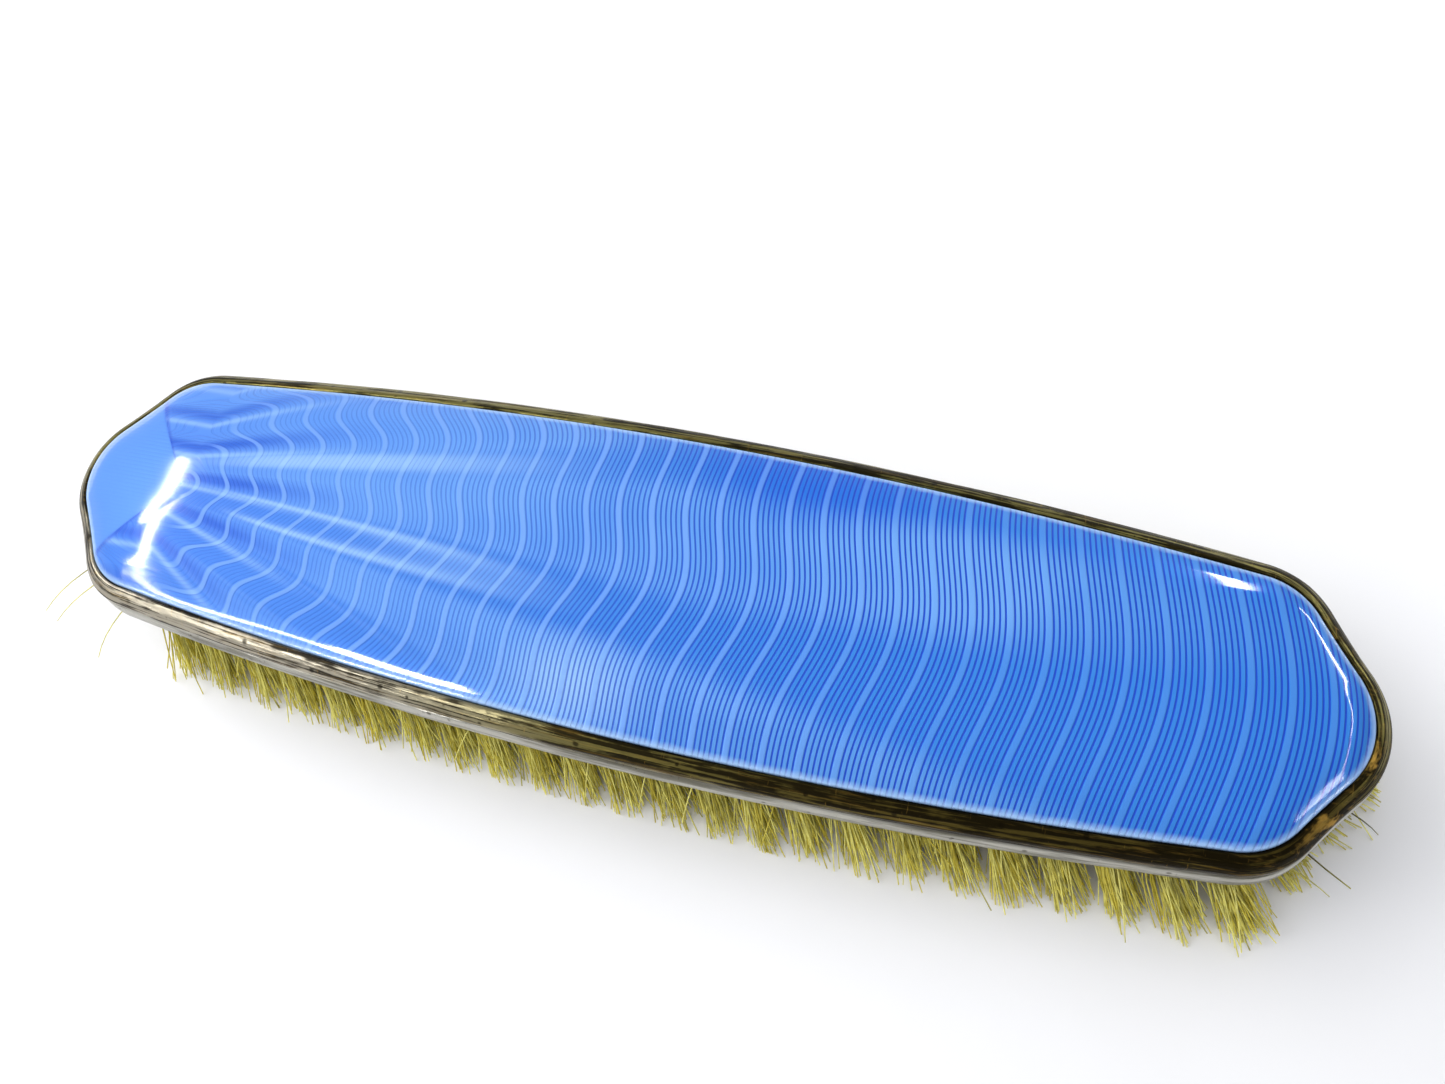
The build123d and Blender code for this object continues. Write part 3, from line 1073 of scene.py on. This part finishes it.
def sweptTips(tips):
    # tips as the brush has been worn: all bent one way, and the outer rows splayed
    swept = tips.copy()
    swept[:, 0] += (sweep["all"] + sweep["farEnd"] * tips[:, 0] / cadHigh.x) * mm
    share = tips[:, 1] / cadHigh.y
    swept[:, 1] += sweep["outward"] * mm * share * np.abs(share)
    return swept


tuftTree = makeTuftTree()
sideRoom = Vector((3.5, 1.2, 0.0)) * mm
rowNames = sorted(name for name in nodes if name.startswith("tufts_row"))
for index, rowName in enumerate(rowNames):
    roots, tips = tuftEnds(rowName)
    values = dict(tuftShape)
    values["Low Corner"] = tuple(cadLow - sideRoom + Vector((0, 0, tuftShape["Fibre Radius"])))
    values["High Corner"] = tuple(cadHigh + sideRoom)
    values["Seed"] = 100 + index * 31
    values["Material"] = finishes["bristle"]
    row = runTree("bristlesRow" + rowName.split("_")[-1], tuftTree, roots, sweptTips(tips), values)
    finishPiece(row, "bristle", rowName)
    print(row.name, "tufts", len(roots), "faces", len(row.data.polygons))

strays = [
    # root, tip (mm): single bristles that stick out of the brush
    ((-77.5, -10.5, 14.2), (-88.6, -19.2, 8.5)),
    ((-75.0, -12.0, 14.2), (-84.2, -20.6, 10.5)),
    ((-70.5, -14.5, 14.2), (-77.8, -23.6, 7.5)),
    ((-16.0, -15.5, 14.2), (-20.5, -25.2, 9.5)),
    ((-2.5, -15.5, 14.2), (-3.2, -25.2, 7.0)),
    ((5.5, -15.6, 14.2), (3.6, -25.3, 5.5)),
    ((12.0, -15.4, 14.2), (9.5, -25.2, 6.5)),
    ((58.0, -15.4, 14.2), (62.5, -25.3, 4.0)),
    ((71.0, -13.0, 14.2), (83.5, -14.5, 3.0)),
    ((77.0, -6.0, 14.2), (87.6, -6.6, 4.5)),
]
strayShape = {"radius": 0.13, "sides": 4, "steps": 7, "sag": 1.1, "shades": (0.25, 0.5), "alongs": (0.4, 1)}


def makeStrays():
    shape = strayShape
    steps, sides = shape["steps"], shape["sides"]
    vertices, faces = [], []
    for root, tip in strays:
        root, tip = Vector(root), Vector(tip)
        across = (tip - root).cross(Vector((0, 0, 1))).normalized()
        above = across.cross(tip - root).normalized()
        base = len(vertices)
        for step in range(steps):
            share = step / (steps - 1)
            middle = root.lerp(tip, share) + above * shape["sag"] * 4 * share * (1 - share)
            thick = shape["radius"] * (1 - 0.5 * share)
            for side in range(sides):
                angle = 2 * math.pi * side / sides
                vertices.append(middle + (across * math.cos(angle) + above * math.sin(angle)) * thick)
        faces += [tuple(base + corner for corner in face) for face in ringFaces(steps, sides)]
        faces.append(tuple(base + side for side in reversed(range(sides))))
        faces.append(tuple(base + (steps - 1) * sides + side for side in range(sides)))
    made = makeMesh("strayBristles", [v * mm for v in vertices], faces, finishes["bristle"])
    shades = np.repeat(np.linspace(*shape["shades"], len(strays)), sides * steps)
    alongs = np.tile(np.repeat(np.linspace(*shape["alongs"], steps), sides), len(strays))
    for name, numbers in (("shade", shades), ("along", alongs)):
        kept = made.data.attributes.new(name, "FLOAT", "POINT")
        kept.data.foreach_set("value", numbers.astype(np.float32))
    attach(made, "root")


makeStrays()
print("stray bristles made:", len(strays))

# floor, light and world

# the dull tone is the floor's painted shade
floorShape = {"size": 3.0, "tone": colour(0.97, 0.97, 0.975), "dull": colour(0.86, 0.855, 0.85)}


def makeFloor():
    half = floorShape["size"] / 2
    corners = [(-half, -half, 0), (half, -half, 0), (half, half, 0), (-half, half, 0)]
    material, tree, shader = newMaterial("paleFloor")
    spot = objectPlace(tree)
    soft = noiseAt(spot, 40.0, 3.0, 0.5)
    x, y, z = split(spot)
    # painted shade: the floor darkens towards the right front, with a faint random mottle
    away = minus(times(x, 0.6), times(y, 0.8))
    shadeFalloffAndMottle = plus(ramp(away, 0.03, 0.15, 0.0, 0.5), ramp(soft, 0.3, 0.7, 0.0, 0.06))
    toned = mixColour(shadeFalloffAndMottle, floorShape["tone"], floorShape["dull"])
    feedAll(shader, {"Base Color": toned, "Roughness": 0.85, "Specular IOR Level": 0.1})
    floor = makeMesh("floor", corners, [(0, 1, 2, 3)], material, False)


lamps = {
    # the middle line of each lamp in m, its width, its W for each square metre, and whether it
    # lights the scene or only glints in the glaze
    "leftTop": ([(-0.541, 0.212, 0.493), (-0.546, 0.142, 0.512), (-0.564, 0.078, 0.508)], 0.018, 120, False),
    "leftStrip": ([(-0.564, 0.078, 0.508), (-0.570, -0.055, 0.507), (-0.560, -0.180, 0.490)],
                  0.023, 120, False),
    "cornerStrip": ([(-0.560, -0.180, 0.490), (-0.557, -0.248, 0.462), (-0.558, -0.336, 0.400),
                     (-0.553, -0.383, 0.361)], 0.012, 90, False),
    "edgeStrip": ([(-0.553, -0.383, 0.361), (-0.532, -0.401, 0.364), (-0.466, -0.402, 0.425),
                   (-0.429, -0.418, 0.438)], 0.024, 80, False),
    "nearStrip": ([(-0.429, -0.410, 0.446), (-0.364, -0.455, 0.448), (-0.323, -0.463, 0.467)],
                  0.050, 140, False),
    "rightStrip": ([(0.459, 0.539, 0.272), (0.548, 0.493, 0.205), (0.512, 0.370, 0.430),
                    (0.560, 0.143, 0.509)], 0.012, 100, False),
    "rightEnd": ([(0.560, 0.143, 0.509), (0.664, -0.120, 0.390), (0.685, -0.149, 0.337)], 0.008, 70, False),
    "backSpot": ([(0.213, 0.657, 0.250), (0.232, 0.577, 0.405)], 0.026, 90, False),
    "window": ([(-0.80, 0.75, 0.75), (-0.80, -0.45, 0.75)], 0.8, 9.4, True),
    "ceiling": ([(-0.5, 0.1, 1.2), (0.5, 0.1, 1.2)], 1.0, 5.0, True),
}


def makeLamp(name, first, last, width, glow, lights):
    data = bpy.data.lights.new(name, "AREA")
    data.shape = "RECTANGLE"
    data.size, data.size_y = (last - first).length, width
    data.energy = glow * data.size * data.size_y
    lamp = bpy.data.objects.new(name, data)
    long = (last - first).normalized()
    away = (first + last) / 2
    away = (away - long * away.dot(long)).normalized()
    across = away.cross(long)
    lamp.rotation_mode = "QUATERNION"
    lamp.rotation_quaternion = Matrix((long, across, away)).transposed().to_quaternion()
    lamp.location = (first + last) / 2
    lamp.visible_glossy = not lights
    lamp.visible_diffuse = lights
    bpy.context.scene.collection.objects.link(lamp)


def makeLamps():
    for name, (line, width, glow, lights) in lamps.items():
        for part, (first, last) in enumerate(zip(line, line[1:])):
            makeLamp(name + str(part), Vector(first), Vector(last), width, glow, lights)


skyLook = {"left": (0.93, 0.95, 1.0, 1.0), "right": (0.42, 0.43, 0.46, 1.0), "strength": 0.74}


def makeWorld():
    world = bpy.data.worlds.new("softStudio")
    world.use_nodes = True
    tree = world.node_tree
    x, y, z = split(addNode(tree, "ShaderNodeTexCoord").outputs["Generated"])
    toned = mixColour(ramp(x, -0.8, 0.9), skyLook["left"], skyLook["right"])
    feedAll(tree.nodes["Background"], {"Color": toned, "Strength": skyLook["strength"]})
    bpy.context.scene.world = world


makeFloor()
makeLamps()
makeWorld()
print("floor and lamps set")
